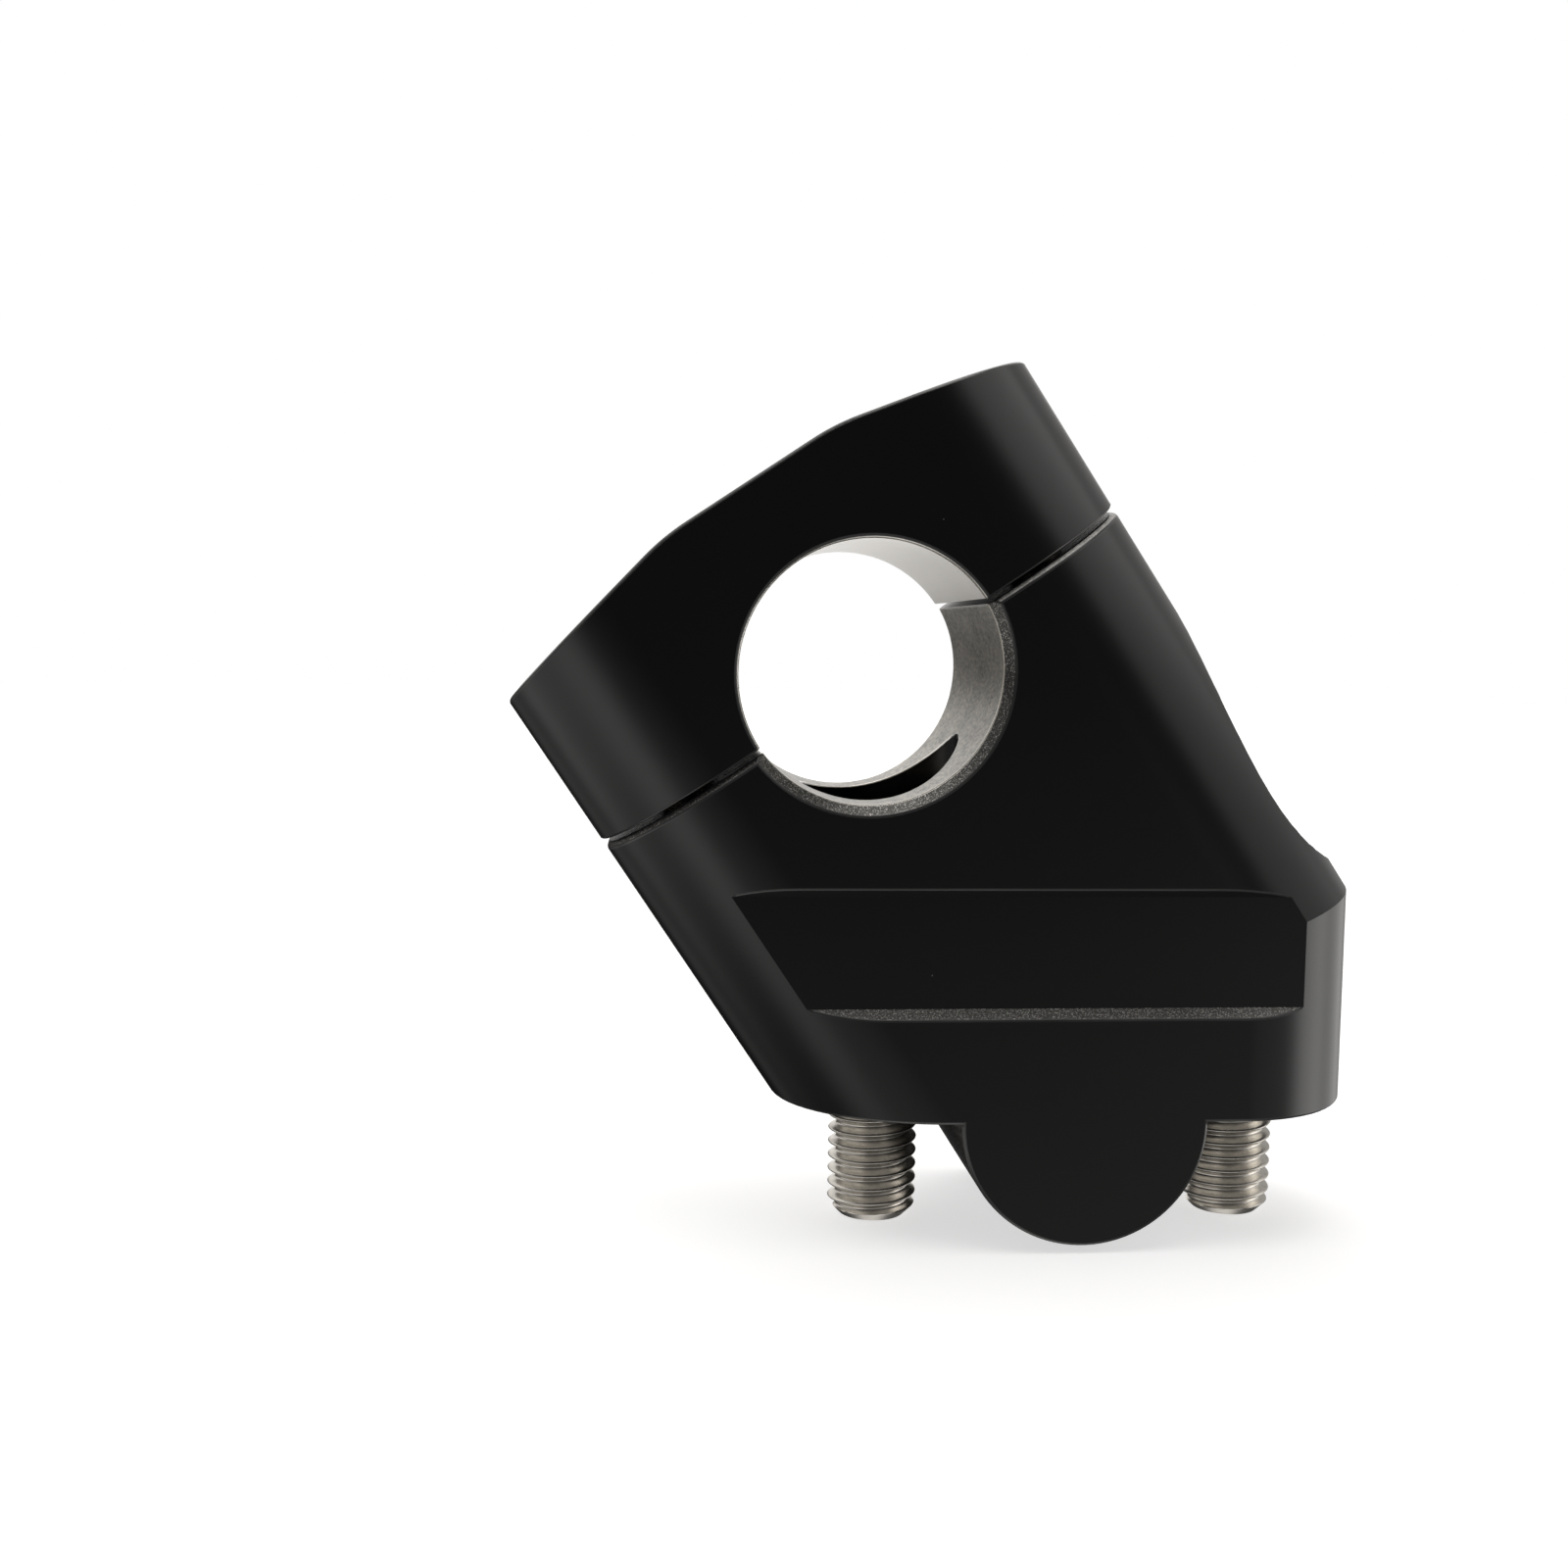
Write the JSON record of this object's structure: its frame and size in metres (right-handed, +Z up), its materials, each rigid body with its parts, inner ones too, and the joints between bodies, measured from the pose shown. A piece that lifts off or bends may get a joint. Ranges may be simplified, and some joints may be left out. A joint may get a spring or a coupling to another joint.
{
  "type": "motorcycle bar riser",
  "caption": "Leaning handlebar riser with a split clamp for the bar, a flat base with a half-round boss, and screws that hold it down.",
  "frame": {"origin": "middle of the flat base, on the axis of the half-round boss and halfway through the thickness", "axes": "+Z up from the base towards the clamp, +Y along the handlebar, and the column leans towards -X"},
  "size_m": [0.075, 0.024, 0.0759],
  "materials": {
    "riser_body": "satin black anodised",
    "clamp_cap": "satin black anodised",
    "clamp_bolt_lower": "plain stainless",
    "clamp_bolt_upper": "plain stainless",
    "mount_bolt_saddle": "plain stainless",
    "mount_bolt_channel": "plain stainless"
  },
  "bodies": {
    "root": {"riser_body": "riser_body", "clamp_cap": "clamp_cap", "clamp_bolt_lower": "clamp_bolt_lower", "clamp_bolt_upper": "clamp_bolt_upper", "mount_bolt_saddle": "mount_bolt_saddle", "mount_bolt_channel": "mount_bolt_channel"}
  },
  "joints": []
}
